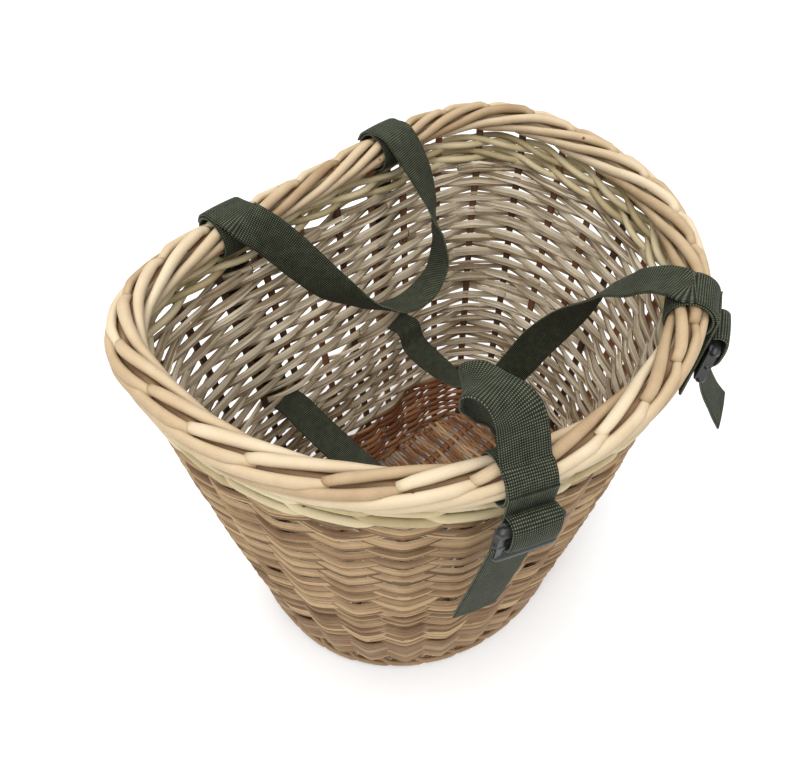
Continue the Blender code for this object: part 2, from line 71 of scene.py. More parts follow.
BORDER_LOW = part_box(RODS[0])[0].z
BORDER_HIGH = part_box(RODS[0])[1].z
BORDER_MIDDLE = (BORDER_LOW + BORDER_HIGH) / 2
BORDER_RADIUS = (BORDER_HIGH - BORDER_LOW) / 2
UPSETT_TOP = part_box("upsett_band")[1].z
SIDING_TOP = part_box("siding_upper")[1].z
WALL_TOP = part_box("top_wale")[1].z
FLOOR_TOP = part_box("base_weave")[1].z

WEB_WIDTH = 0.024
WEB_WIDTH_IN_SLOT = 0.0222
WEB_THICKNESS = 0.0014
RIB_PITCH = 0.0013  # from one rib across the webbing to the next
THREAD_PITCH = 0.0011  # from one thread along the webbing to the next


# ---------------------------------------------------------------- the wall, read from the stakes
def stake_line(name):
    """Middle of a CAD stake at each height where it has a ring of corners, from the bottom up."""
    corners = np.array([corner.co for corner in frame["nodes"][name].data.vertices])
    levels = np.unique(np.round(corners[:, 2], 3))
    rings = [np.unique(np.round(corners[np.abs(corners[:, 2] - z) < 0.0006], 5), axis=0) for z in levels]
    return np.array([ring.mean(axis=0) for ring in rings])


WALL = np.array([stake_line(name) for name in STAKES]).transpose(1, 0, 2)
WALL_HEIGHTS = WALL[:, 0, 2]
# How far the middle of the border lies outside the stakes' tops.
RIM_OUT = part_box(RODS[0])[1].x - BORDER_RADIUS - WALL[-1, :, 0].max()


def smooth_between(a, b, c, d, t):
    """Smooth curve from b at t = 0 to c at t = 1, where a comes before them and d after."""
    return b + ((c - a) * t + (2 * a - 5 * b + 4 * c - d) * t**2 + (3 * b - a - 3 * c + d) * t**3) / 2


def around(values, place):
    """Smooth closed curve through one value for each stake."""
    before = np.floor(place).astype(int)
    t = (place - before)[:, None]
    a, b, c, d = (values[(before + step) % COUNT] for step in (-1, 0, 1, 2))
    return smooth_between(a, b, c, d, t)


def wall_point(place, height):
    """Points on the middle of the wall, on the smooth curve through the heights of the CAD stakes."""
    place, height = np.broadcast_arrays(np.atleast_1d(place).astype(float), height)
    total = np.zeros((len(place), 3))
    for level, here in enumerate(WALL_HEIGHTS):
        weight = np.ones(len(place))
        for other, there in enumerate(WALL_HEIGHTS):
            if other != level:
                weight = weight * (height - there) / (here - there)
        total += around(WALL[level], place) * weight[:, None]
    total[:, 2] = height
    return total


def unit(vectors):
    return vectors / np.linalg.norm(vectors, axis=-1, keepdims=True)


def wall_frame(place, height):
    """(points, directions up the wall, directions out of the basket)."""
    place, height = np.broadcast_arrays(np.atleast_1d(place).astype(float), height)
    along = unit(wall_point(place + 0.1, height) - wall_point(place - 0.1, height))
    up = unit(wall_point(place, height + 0.002) - wall_point(place, height - 0.002))
    return wall_point(place, height), up, unit(np.cross(up, along))


def level_out(place):
    """Level directions out of the basket at the rim."""
    out = wall_frame(place, WALL_TOP)[2]
    out[:, 2] = 0.0
    return unit(out)


def rim_middle(place):
    """Points on the middle of the border."""
    points = wall_point(place, WALL_TOP) + level_out(place) * RIM_OUT
    points[:, 2] = BORDER_MIDDLE
    return points


# ---------------------------------------------------------------- mesh helpers
class Rods:
    """Collects swept rods and makes them one object, with the length and the depth of each as its UV map."""

    def __init__(self):
        self.points = []
        self.faces = []
        self.uv = []
        self.tone = []
        self.total = 0

    def sweep(self, line, up, out, tall, deep, profile, tone=None):
        """A closed rod along line, whose profile lists (share of tall, share of deep) round its section."""
        steps, sides = len(line), len(profile)
        tall = np.broadcast_to(tall, steps)[:, None, None]
        deep = np.broadcast_to(deep, steps)[:, None, None]
        ring = line[:, None] + up[:, None] * profile[None, :, :1] * tall
        ring = ring + out[:, None] * profile[None, :, 1:] * deep
        run = np.concatenate([[0.0], np.cumsum(np.linalg.norm(np.diff(line, axis=0), axis=1))])
        run += chance.uniform(0.0, 5.0)
        here = self.total + np.arange(steps - 1)[:, None] * sides + np.arange(sides)
        there = self.total + np.arange(steps - 1)[:, None] * sides + (np.arange(sides) + 1) % sides
        self.faces += np.stack([here, there, there + sides, here + sides], axis=-1).reshape(-1, 4).tolist()
        self.faces.append(list(range(self.total + sides - 1, self.total - 1, -1)))
        last = self.total + (steps - 1) * sides
        self.faces.append(list(range(last, last + sides)))
        self.points.append(ring.reshape(-1, 3))
        along_and_depth = np.broadcast_arrays(run[:, None], profile[None, :, 1])
        self.uv.append(np.stack(along_and_depth, axis=-1).reshape(-1, 2))
        tone = chance.uniform(0.0, 1.0) if tone is None else tone
        self.tone.append(np.full(steps * sides, tone))
        self.total += steps * sides

    def make(self, name, material, body, sides=0, sharp=()):
        """The object, riding on a body; the numbered corners of its rods' sections are sharp edges."""
        mesh = bpy.data.meshes.new(name)
        mesh.from_pydata(np.concatenate(self.points).tolist(), [], self.faces)
        corners = np.empty(len(mesh.loops), dtype=np.int32)
        mesh.loops.foreach_get("vertex_index", corners)
        layer = mesh.uv_layers.new(name="along")
        layer.data.foreach_set("uv", np.concatenate(self.uv)[corners].astype(np.float32).ravel())
        tone = mesh.attributes.new("tone", "FLOAT", "POINT")
        tone.data.foreach_set("value", np.concatenate(self.tone).astype(np.float32))
        mesh.polygons.foreach_set("use_smooth", np.full(len(mesh.polygons), True))
        if sharp:
            ends = np.empty(2 * len(mesh.edges), dtype=np.int32)
            mesh.edges.foreach_get("vertices", ends)
            ends = ends.reshape(-1, 2) % sides
            is_sharp = (ends[:, 0] == ends[:, 1]) & np.isin(ends[:, 0], sharp)
            mesh.attributes.new("sharp_edge", "BOOLEAN", "EDGE").data.foreach_set("value", is_sharp)
        mesh.materials.append(material)
        made = bpy.data.objects.new(name, mesh)
        bpy.context.scene.collection.objects.link(made)
        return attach(made, body)


def round_profile(sides):
    turns = 2 * pi * np.arange(sides) / sides
    return np.stack([np.cos(turns), np.sin(turns)], axis=1) / 2


def split_profile(arc_sides):
    """A split rod: flat on the inner side, round on the outer side."""
    turns = np.linspace(0.0, pi, arc_sides + 1)
    arc = np.stack([np.cos(turns) / 2, -0.28 + 0.78 * np.sin(turns)], axis=1)
    return np.concatenate([[[0.46, -0.5]], arc, [[-0.46, -0.5]]])


ROUND = round_profile(8)
SPLIT = split_profile(4)


def wander(places, step, size):
    """Smooth chance along places: a new random value every step."""
    first = np.floor(places.min() / step) - 1
    knots = chance.normal(0.0, size, int((places.max() - places.min()) / step) + 5)
    return np.interp(places / step - first, np.arange(len(knots)), knots)


# ---------------------------------------------------------------- materials
def new_material(name):
    made = bpy.data.materials.new(name)
    made.use_nodes = True
    return made, made.node_tree, made.node_tree.nodes["Principled BSDF"]


def add(tree, kind, **settings):
    node = tree.nodes.new(kind)
    for key, value in settings.items():
        if key in node.inputs:
            node.inputs[key].default_value = value
        else:
            setattr(node, key, value)
    return node


def ramp(tree, source, stops):
    """Colour ramp over (position, colour) stops."""
    node = tree.nodes.new("ShaderNodeValToRGB")
    elements = node.color_ramp.elements
    while len(elements) < len(stops):
        elements.new(0.5)
    for element, (position, colour) in zip(elements, stops):
        element.position = position
        element.color = (*colour, 1.0)
    tree.links.new(source, node.inputs["Fac"])
    return node.outputs["Color"]


# A Mix node has sockets for every kind of value; these are the numbers of those for colours.
MIX_FACTOR, MIX_FIRST, MIX_SECOND, MIX_RESULT = 0, 6, 7, 2


def mix(tree, factor, first, second, blend="MIX"):
    """Mixes two colour sockets; the factor is a number or a socket."""
    node = tree.nodes.new("ShaderNodeMix")
    node.data_type = "RGBA"
    node.blend_type = blend
    if isinstance(factor, bpy.types.NodeSocket):
        tree.links.new(factor, node.inputs[MIX_FACTOR])
    else:
        node.inputs[MIX_FACTOR].default_value = factor
    tree.links.new(first, node.inputs[MIX_FIRST])
    tree.links.new(second, node.inputs[MIX_SECOND])
    return node.outputs[MIX_RESULT]


def math(tree, operation, *values):
    """Result of a sum on numbers or sockets."""
    node = tree.nodes.new("ShaderNodeMath")
    node.operation = operation
    for socket, value in zip(node.inputs, values):
        if isinstance(value, bpy.types.NodeSocket):
            tree.links.new(value, socket)
        else:
            socket.default_value = value
    return node.outputs[0]


def srgb(red, green, blue):
    """Linear colour from the 0-255 values that a colour picker shows."""
    shares = (red / 255, green / 255, blue / 255)
    return tuple(c / 12.92 if c <= 0.04045 else ((c + 0.055) / 1.055) ** 2.4 for c in shares)


def stretched_noise(tree, coordinates, scale, along, detail=3.0):
    """Noise drawn out along the rod: along is how many times longer than wide its spots are."""
    mapping = add(tree, "ShaderNodeMapping")
    mapping.inputs["Scale"].default_value = (1.0 / along, 1.0, 1.0)
    tree.links.new(coordinates, mapping.inputs["Vector"])
    noise = add(tree, "ShaderNodeTexNoise", Scale=scale, Detail=detail, Roughness=0.6)
    tree.links.new(mapping.outputs["Vector"], noise.inputs["Vector"])
    return noise.outputs["Fac"]


def willow(name, dark, middle, light, inner=None, roughness=0.55, knots=0.0, bump=0.25):
    """Willow with a tone for each rod, grain along it, and another colour on a split inner face."""
    made, tree, shader = new_material(name)
    tone = add(tree, "ShaderNodeAttribute", attribute_name="tone").outputs["Fac"]
    along = add(tree, "ShaderNodeUVMap", uv_map="along").outputs["UV"]
    place = add(tree, "ShaderNodeTexCoord").outputs["Object"]
    blotch = add(tree, "ShaderNodeTexNoise", Scale=38.0, Detail=4.0, Roughness=0.6)
    tree.links.new(place, blotch.inputs["Vector"])
    grain = stretched_noise(tree, along, 900.0, 400.0)
    spots_share = math(tree, "MULTIPLY", blotch.outputs["Fac"], 0.5)
    value = math(tree, "ADD", math(tree, "MULTIPLY", tone, 0.6), spots_share)
    colour = ramp(tree, value, [(0.18, dark), (0.5, middle), (0.82, light)])
    if inner is not None:
        inner_dark, inner_light = inner
        inner_colour = ramp(tree, value, [(0.25, inner_dark), (0.75, inner_light)])
        depth = add(tree, "ShaderNodeSeparateXYZ")
        tree.links.new(along, depth.inputs["Vector"])
        is_inner = math(tree, "LESS_THAN", depth.outputs["Y"], -0.3)
        colour = mix(tree, is_inner, colour, inner_colour)
    streak = ramp(tree, grain, [(0.3, (0.60, 0.56, 0.50)), (0.60, (1.0, 1.0, 1.0))])
    colour = mix(tree, 0.65, colour, streak, "MULTIPLY")
    if knots:
        spots = add(tree, "ShaderNodeTexVoronoi", Scale=55.0)
        tree.links.new(place, spots.inputs["Vector"])
        spot = ramp(tree, spots.outputs["Distance"], [(0.03, srgb(120, 80, 50)), (0.07, (1.0, 1.0, 1.0))])
        colour = mix(tree, knots, colour, spot, "MULTIPLY")
    tree.links.new(colour, shader.inputs["Base Color"])
    rough = math(tree, "ADD", math(tree, "MULTIPLY", grain, 0.25), roughness - 0.12)
    tree.links.new(rough, shader.inputs["Roughness"])
    shader.inputs["Specular IOR Level"].default_value = 0.35
    dent = add(tree, "ShaderNodeBump", Strength=bump, Distance=0.0006)
    tree.links.new(grain, dent.inputs["Height"])
    tree.links.new(dent.outputs["Normal"], shader.inputs["Normal"])
    return made


def webbing_material():
    """Dark olive webbing: fine ribs across it, with painted highlights on single threads and painted shade
    between the ribs.
    """
    made, tree, shader = new_material("webbing_olive")
    along = add(tree, "ShaderNodeUVMap", uv_map="along").outputs["UV"]
    parts = add(tree, "ShaderNodeSeparateXYZ")
    tree.links.new(along, parts.inputs["Vector"])
    row = math(tree, "MULTIPLY", parts.outputs["X"], 2 * pi / RIB_PITCH)
    thread = math(tree, "MULTIPLY", parts.outputs["Y"], 2 * pi / THREAD_PITCH)
    rows = math(tree, "MULTIPLY_ADD", math(tree, "COSINE", row), 0.5, 0.5)
    threads = math(tree, "MULTIPLY_ADD", math(tree, "COSINE", thread), 0.5, 0.5)
    # The weave pattern: in the colour it is painted highlights on the threads' tops and painted shade between
    # the ribs; in the bump it is their real relief.
    weave = math(tree, "MULTIPLY", rows, threads)
    noise = add(tree, "ShaderNodeTexNoise", Scale=220.0, Detail=3.0)
    tree.links.new(add(tree, "ShaderNodeTexCoord").outputs["Object"], noise.inputs["Vector"])
    noise_share = math(tree, "MULTIPLY", noise.outputs["Fac"], 0.35)
    value = math(tree, "ADD", math(tree, "MULTIPLY", weave, 0.75), noise_share)
    # From painted shade between the ribs, through the webbing's own olive, to painted highlights on the
    # threads.
    olive_with_painted_light = [(0.15, srgb(18, 20, 14)), (0.5, srgb(46, 50, 37)), (0.95, srgb(122, 128, 102))]
    colour = ramp(tree, value, olive_with_painted_light)
    tree.links.new(colour, shader.inputs["Base Color"])
    rough = math(tree, "ADD", math(tree, "MULTIPLY", noise.outputs["Fac"], 0.2), 0.62)
    tree.links.new(rough, shader.inputs["Roughness"])
    shader.inputs["Sheen Weight"].default_value = 0.04
    shader.inputs["Sheen Roughness"].default_value = 0.4
    shader.inputs["Specular IOR Level"].default_value = 0.18
    dent = add(tree, "ShaderNodeBump", Strength=0.6, Distance=0.0004)
    tree.links.new(weave, dent.inputs["Height"])
    tree.links.new(dent.outputs["Normal"], shader.inputs["Normal"])
    return made


def plastic_material():
    """Moulded black plastic with a fine grain."""
    made, tree, shader = new_material("moulded_black")
    noise = add(tree, "ShaderNodeTexNoise", Scale=900.0, Detail=4.0)
    tree.links.new(add(tree, "ShaderNodeTexCoord").outputs["Object"], noise.inputs["Vector"])
    colour = ramp(tree, noise.outputs["Fac"], [(0.35, srgb(24, 26, 26)), (0.7, srgb(44, 47, 47))])
    tree.links.new(colour, shader.inputs["Base Color"])
    rough = math(tree, "ADD", math(tree, "MULTIPLY", noise.outputs["Fac"], 0.25), 0.3)
    tree.links.new(rough, shader.inputs["Roughness"])
    dent = add(tree, "ShaderNodeBump", Strength=0.25, Distance=0.0003)
    tree.links.new(noise.outputs["Fac"], dent.inputs["Height"])
    tree.links.new(dent.outputs["Normal"], shader.inputs["Normal"])
    return made


BUFF = willow(
    "buff_willow",
    srgb(98, 72, 46),
    srgb(148, 119, 87),
    srgb(190, 162, 124),
    inner=(srgb(140, 118, 88), srgb(232, 220, 196)),
)
BROWN = willow(
    "brown_willow",
    srgb(112, 84, 58),
    srgb(140, 112, 80),
    srgb(166, 138, 104),
    inner=(srgb(118, 66, 38), srgb(186, 124, 82)),
    roughness=0.5,
)
# The wale's own cream, darkened throughout as painted shade under the border's overhang.
CREAM = willow("cream_willow", srgb(140, 122, 84), srgb(190, 174, 134), srgb(218, 205, 170), knots=0.8)
BORDER = willow("border_willow", srgb(150, 122, 88), srgb(188, 165, 132), srgb(210, 193, 164), knots=1.2)
STAKE = willow("stake_willow", srgb(62, 40, 26), srgb(92, 62, 42), srgb(130, 86, 58), roughness=0.65)
FLOOR = willow("floor_willow", srgb(118, 74, 46), srgb(172, 122, 82), srgb(220, 184, 138), roughness=0.5)
WEBBING = webbing_material()
PLASTIC = plastic_material()

# ---------------------------------------------------------------- weave of the wall
STEPS_PER_STAKE = 8
CORNER_SHARPNESS = 0.985  # 1 would make the rods turn a sharp corner at each stake
STRAND_LIFE = 34  # stakes that one rod passes before the next takes over
STRAND_LIFE_SPREAD = 6
END_OVERLAP = 0.9  # stakes that a new rod shares with the end of the last
END_TUCK = 0.0016  # how far the end of a rod is tucked in behind
ROW_TIGHTNESS = 0.93  # height of a row as a share of its rods' height
SAG = 0.00035
WANDER = 0.16  # unevenness of a rod's height, as a share of tall
LEAN = 0.30  # each rod leans over the one below it, as tiles do
INSIDE_WIDTH = 1.45  # width of a rod where it lies on a stake's inner side, as a share of tall
CROSSING_WIDTH = 0.98
OUTSIDE_WIDTH = 1.42
PAIR = (-1.0, 1.0)  # the split rods are laid in twos
PAIR_SPREAD = 0.26  # from the middle of the two to the middle of one, as a share of their width together
PAIR_WIDTH = 0.47
SHARP_CORNERS = (0, 1, len(SPLIT) - 2, len(SPLIT) - 1)
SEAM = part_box("siding_upper")[0].z


def in_and_out(place):
    """+1 in front of the even stakes and -1 behind the odd ones, nearly straight between them."""
    return np.arcsin(CORNER_SHARPNESS * np.cos(pi * place)) / asin(CORNER_SHARPNESS)


def woven_band(name, node, material, slot, bottom, top, lanes, tall, deep, sway, profile):
    """Rods that go round and round in one long spiral, in front of one stake and behind the next."""
    members = PAIR if profile is SPLIT else (0.0,)
    bundles = [Rods() for _ in members]
    rows = round((top - bottom) / (tall * lanes * ROW_TIGHTNESS))
    pitch = (top - bottom) / rows
    for lane in range(lanes):
        start = 0.0
        while start < rows * COUNT:
            extra = chance.integers(-STRAND_LIFE_SPREAD, STRAND_LIFE_SPREAD + 1)
            end = min(rows * COUNT, start + STRAND_LIFE + extra)
            place = np.arange(start * STEPS_PER_STAKE, end * STEPS_PER_STAKE + 1) / STEPS_PER_STAKE
            side = in_and_out(place)
            height = bottom + pitch * (place / COUNT + (lane + 0.5) / lanes)
            height += wander(place, 1.3, WANDER * tall) - side * SAG
            height = np.clip(height, bottom + tall * 0.4, top - tall * 0.4)
            size = chance.uniform(0.84, 1.14)
            taper = np.interp(place, [start, end], [1.08, 0.84]) * (1 + wander(place, 1.5, 0.06)) * size
            depth = side * sway + wander(place, 1.0, 0.00020)
            near_end = np.minimum(place - start, end - place)
            depth -= np.interp(near_end, [0.0, 0.8], [END_TUCK, 0.0])
            widths = [INSIDE_WIDTH, CROSSING_WIDTH, OUTSIDE_WIDTH]
            width = tall * taper * np.interp(side, [-1.0, 0.0, 1.0], widths)
            lean = (LEAN * side)[:, None]
            for member, rods in zip(members, bundles):
                apart = member * (PAIR_SPREAD * width + wander(place, 2.0, 0.07 * tall))
                points, up, out = wall_frame(place, height + apart)
                up, out = up * np.cos(lean) - out * np.sin(lean), out * np.cos(lean) + up * np.sin(lean)
                share = PAIR_WIDTH if member else 1.0
                rods.sweep(points + out * depth[:, None], up, out, width * share, deep * taper, profile)
            start = end - END_OVERLAP
            if end == rows * COUNT:
                break
    for number, rods in enumerate(bundles):
        piece = f"{name}_{number + 1}" if len(bundles) > 1 else name
        made = rods.make(piece, material, "basket", len(profile), SHARP_CORNERS if profile is SPLIT else ())
        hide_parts(*node)


UPSETT_ROD = {"lanes": 1, "tall": 0.0033, "deep": 0.0028, "sway": 0.0040, "profile": ROUND}
SIDING_ROD = {"lanes": 2, "tall": 0.0030, "deep": 0.0022, "sway": 0.0038, "profile": SPLIT}
UPSETT_FOOT = 0.009

woven_band("weave_upsett", ["upsett_band"], BROWN, "brown_willow", UPSETT_FOOT, UPSETT_TOP, **UPSETT_ROD)
woven_band("weave_lower", ["siding_lower"], BUFF, "buff_willow", UPSETT_TOP, SEAM, **SIDING_ROD)
woven_band("weave_upper", ["siding_upper"], BUFF, "buff_willow", SEAM, SIDING_TOP, **SIDING_ROD)


# ---------------------------------------------------------------- stakes
STAKE_WIDTH = 0.0054


def stakes():
    """The upright rods, a little uneven, from the bottom into the border."""
    rods = Rods()
    height = np.linspace(WALL[0, 0, 2] + 0.002, BORDER_MIDDLE, 24)
    for number in range(COUNT):
        place = number + wander(height, 0.05, 0.012)
        points, _, out = wall_frame(place, height)
        along = unit(np.cross(out, np.gradient(points, axis=0)))
        width = STAKE_WIDTH * np.linspace(1.05, 0.95, len(height)) * (1 + wander(height, 0.03, 0.03))
        rods.sweep(points, along, out, width, width * 0.9, ROUND)
    made = rods.make("wall_stakes", STAKE, "basket")
    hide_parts(*STAKES)
    return made


stakes()


# ---------------------------------------------------------------- wales
WALE_ROD = 0.46  # thickness of a rod as a share of the height of a row
WALE_SWING = 0.45  # how far a rod rises and falls, as a share of its thickness


def wale(name, material, bottom, top, rows, sway):
    """A spiral of three rods for each row; each passes in front of two stakes and behind the third."""
    rods = Rods()
    pitch = (top - bottom) / rows
    tall = pitch * WALE_ROD
    for lead in range(3):
        first, last = lead * STEPS_PER_STAKE, (rows * COUNT + lead) * STEPS_PER_STAKE
        place = np.arange(first, last + 1) / STEPS_PER_STAKE
        turn = 2 * pi * (place - lead) / 3
        side = np.clip(1.25 * np.cos(turn) + 0.25, -1.0, 1.0)
        height = bottom + pitch * (place - lead) / COUNT + WALE_SWING * tall * np.sin(turn)
        height += wander(place, 3.0, 0.0002)
        points, up, out = wall_frame(place, height)
        taper = 1 + wander(place, 4.0, 0.05)
        rods.sweep(points + out * (side * sway)[:, None], up, out, tall * taper, tall * taper, ROUND)
    made = rods.make(name, material, "basket")
    return made


TOP_WALE_FOOT = SIDING_TOP + 0.0008
TOP_WALE_TOP = BORDER_MIDDLE - BORDER_RADIUS + 0.0022
top_wale = wale("wale_under_border", CREAM, TOP_WALE_FOOT, TOP_WALE_TOP, 2, 0.0052)
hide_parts("top_wale")
wale("wale_at_foot", BROWN, 0.0030, 0.0110, 1, 0.0046)


# ---------------------------------------------------------------- plaited border
BORDER_ROD = 0.0055
BORDER_LAY = BORDER_RADIUS - BORDER_ROD / 2 + 0.0002  # from the middle of the border to the middle of a rod
CORE_RADIUS = 0.0050
# Low tone of the core: painted shade where it shows in the gaps between the border rods.
CORE_PAINTED_SHADE_TONE = 0.1


def border():
    """Two rods at each stake, one over the top from the inside and one down the outside."""
    rods = Rods()
    for number in range(COUNT):
        over_the_top(rods, number + chance.normal(0.0, 0.05))
        down_the_outside(rods, number + chance.normal(0.0, 0.05))
    made = rods.make("border_plait", BORDER, "basket")
    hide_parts(*RODS)


def border_core():
    """The bundle of rods inside the plait, which shows only between its rods; its low tone is painted shade in
    the gaps between them.
    """
    core = Rods()
    place = np.arange(STEPS_PER_STAKE * COUNT + 1) / STEPS_PER_STAKE
    up = np.tile([0.0, 0.0, 1.0], (len(place), 1))
    core.sweep(rim_middle(place), up, level_out(place), 2 * CORE_RADIUS, 2 * CORE_RADIUS, ROUND, CORE_PAINTED_SHADE_TONE)
    core.make("border_core", BUFF, "basket")


def lay_rod(rods, place, turn, radius, width):
    """A border rod at an angle round the middle of the border: 0 is outside, 90 degrees is the top."""
    middle = rim_middle(place)
    out = level_out(place)
    up = np.tile([0.0, 0.0, 1.0], (len(place), 1))
    spoke = out * np.cos(turn)[:, None] + up * np.sin(turn)[:, None]
    points = middle + spoke * radius[:, None]
    along = unit(np.gradient(points, axis=0))
    across = unit(np.cross(spoke, along))
    width = width * (1 + wander(place, 0.7, 0.035)) * chance.uniform(0.92, 1.06)
    rods.sweep(points, across, unit(np.cross(along, across)), width * 1.04, width * 0.94, round_profile(12))


def over_the_top(rods, start):
    """A rod from the inside of the wall's top, over the ridge, to a blunt end just outside it."""
    share = np.linspace(0.0, 1.0, 36)
    place = start - 1.3 + 3.45 * share
    turn = np.radians(np.interp(share, [0.0, 0.25, 0.5, 1.0], [242.0, 206.0, 172.0, 66.0]))
    radius = BORDER_LAY * np.interp(share, [0.0, 0.1, 0.94, 1.0], [0.80, 1.0, 1.0, 0.66])
    width = BORDER_ROD * np.interp(share, [0.0, 0.12, 0.9, 1.0], [0.5, 0.90, 1.08, 0.92])
    lay_rod(rods, place, turn + wander(place, 1.0, 0.03), radius, width)


def down_the_outside(rods, start):
    """A rod from under the ridge down the outside to a tapered end tucked in below."""
    share = np.linspace(0.0, 1.0, 38)
    place = start + 2.0 + 3.6 * share
    turn = np.radians(np.interp(share, [0.0, 1.0], [56.0, -66.0]))
    radius = BORDER_LAY * np.interp(share, [0.0, 0.1, 0.78, 1.0], [0.55, 1.0, 0.98, 0.76])
    width = BORDER_ROD * np.interp(share, [0.0, 0.1, 0.6, 1.0], [0.7, 0.98, 0.92, 0.55])
    lay_rod(rods, place, turn + wander(place, 1.0, 0.03), radius, width)


border()
border_core()


# ---------------------------------------------------------------- woven floor
STICK_WIDTH = 0.0062
STICK_HEIGHT = 0.0036
FLOOR_ROD = 0.0031
FLOOR_ROD_HEIGHT = 0.85  # as a share of its width
FLOOR_ROD_PITCH = 1.04  # from one rod to the next, in widths
FLOOR_INSET = 0.002


def floor_outline(height):
    """Points round the edge of the floor, just inside the wall."""
    points, _, out = wall_frame(np.arange(4 * COUNT) / 4, height)
    return points - out * FLOOR_INSET


def crossing(outline, axis, at):
    """Lowest and highest place where the outline crosses a line; axis 0 reads X at a given Y."""
    other = 1 - axis
    first, second = outline, np.roll(outline, -1, axis=0)
    hit = (first[:, other] - at) * (second[:, other] - at) < 0
    share = (at - first[hit, other]) / (second[hit, other] - first[hit, other])
    found = first[hit, axis] + (second[hit, axis] - first[hit, axis]) * share
    return found.min(), found.max()


def level_directions(count, axis):
    """(across, upwards) for a rod that lies level along X or Y."""
    across = (0.0, 1.0, 0.0) if axis == "X" else (-1.0, 0.0, 0.0)
    return np.tile(across, (count, 1)), np.tile([0.0, 0.0, 1.0], (count, 1))


def floor_sticks(outline, stick_places):
    """The stiff sticks along the width."""
    sticks = Rods()
    for y in stick_places:
        low, high = crossing(outline, 0, y)
        x = np.linspace(low, high, 30)
        line = np.stack([x, y + wander(x, 0.04, 0.0006), np.full(len(x), FLOOR_TOP / 2)], axis=1)
        sticks.sweep(line, *level_directions(len(x), "X"), STICK_WIDTH, STICK_HEIGHT, ROUND)
    made = sticks.make("floor_sticks", FLOOR, "basket")
    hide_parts(*BASE_STICKS)


def floor_rods(outline, stick_places):
    """Thin rods across the sticks, from the back to the nose, over one stick and under the next."""
    rods = Rods()
    gap = stick_places[1] - stick_places[0]
    width = FLOOR_ROD
    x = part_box("base_weave")[0].x + 2 * width
    number = 0
    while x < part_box("base_weave")[1].x - 2 * width:
        low, high = crossing(outline, 1, x)
        y = np.linspace(low, high, 48)
        flip = 1 if number % 2 else -1
        wave = flip * in_and_out((y - stick_places[0]) / gap) * (FLOOR_TOP / 2 - width / 2 - 0.0002)
        line = np.stack([x + wander(y, gap, 0.0003), y, FLOOR_TOP / 2 + wave], axis=1)
        rods.sweep(line, *level_directions(len(y), "Y"), width, width * FLOOR_ROD_HEIGHT, ROUND)
        x += width * FLOOR_ROD_PITCH
        number += 1
    made = rods.make("floor_weave", FLOOR, "basket")
    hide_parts("base_weave")


FLOOR_OUTLINE = floor_outline(FLOOR_TOP / 2)
STICK_PLACES = [sum(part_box(name)[end].y for end in (0, 1)) / 2 for name in BASE_STICKS]
floor_sticks(FLOOR_OUTLINE, STICK_PLACES)
floor_rods(FLOOR_OUTLINE, STICK_PLACES)

# ---------------------------------------------------------------- webbing
FRONT_PLACES = {"left": NOSE + 2.4, "right": NOSE - 2.4}
BACK_PLACES = {"left": COUNT - 2.5, "right": 1.5}
RING_RADIUS = BORDER_RADIUS + 0.0016
OVER_RING = RING_RADIUS + 0.0018  # where webbing lies on a ring
SLOT_HEIGHT = SEAM - 0.004
STRAP_OUTSIDE_WALL = 0.0078
RIB_DEPTH = 0.16  # as a share of the webbing's thickness
CUPPING = 0.0004  # how far the middle of the webbing stands above its edges
LEVEL = np.array([1.0, 0.0, 0.0])
UP = np.array([0.0, 0.0, 1.0])


def web_profile(columns=12):
    """Section of the webbing as (share of the width, thickness): two faces and rounded edges."""
    across = np.linspace(-0.486, 0.486, columns)
    upper = np.stack([across, np.full(columns, WEB_THICKNESS / 2)], axis=1)
    edge = np.array([[0.5, WEB_THICKNESS / 4], [0.5, -WEB_THICKNESS / 4]])
    lower = upper[::-1] * [1, -1]
    return np.concatenate([upper, edge, lower, -edge])


def smooth_line(points, step):
    """Even steps on a smooth curve through rows of numbers that start with a place, and the length at each."""
    rows = np.array(points, dtype=float)
    padded = np.concatenate([[2 * rows[0] - rows[1]], rows, [2 * rows[-1] - rows[-2]]])
    t = np.linspace(0, 1, 24, endpoint=False)[:, None]
    made = []
    for i in range(len(rows) - 1):
        a, b, c, d = padded[i : i + 4]
        made.append(smooth_between(a, b, c, d, t))
    dense = np.concatenate([*made, rows[-1:]])
    run = np.concatenate([[0.0], np.cumsum(np.linalg.norm(np.diff(dense[:, :3], axis=0), axis=1))])
    even = np.linspace(0.0, run[-1], max(8, int(run[-1] / step)))
    return np.stack([np.interp(even, run, dense[:, column]) for column in range(rows.shape[1])], axis=1), even


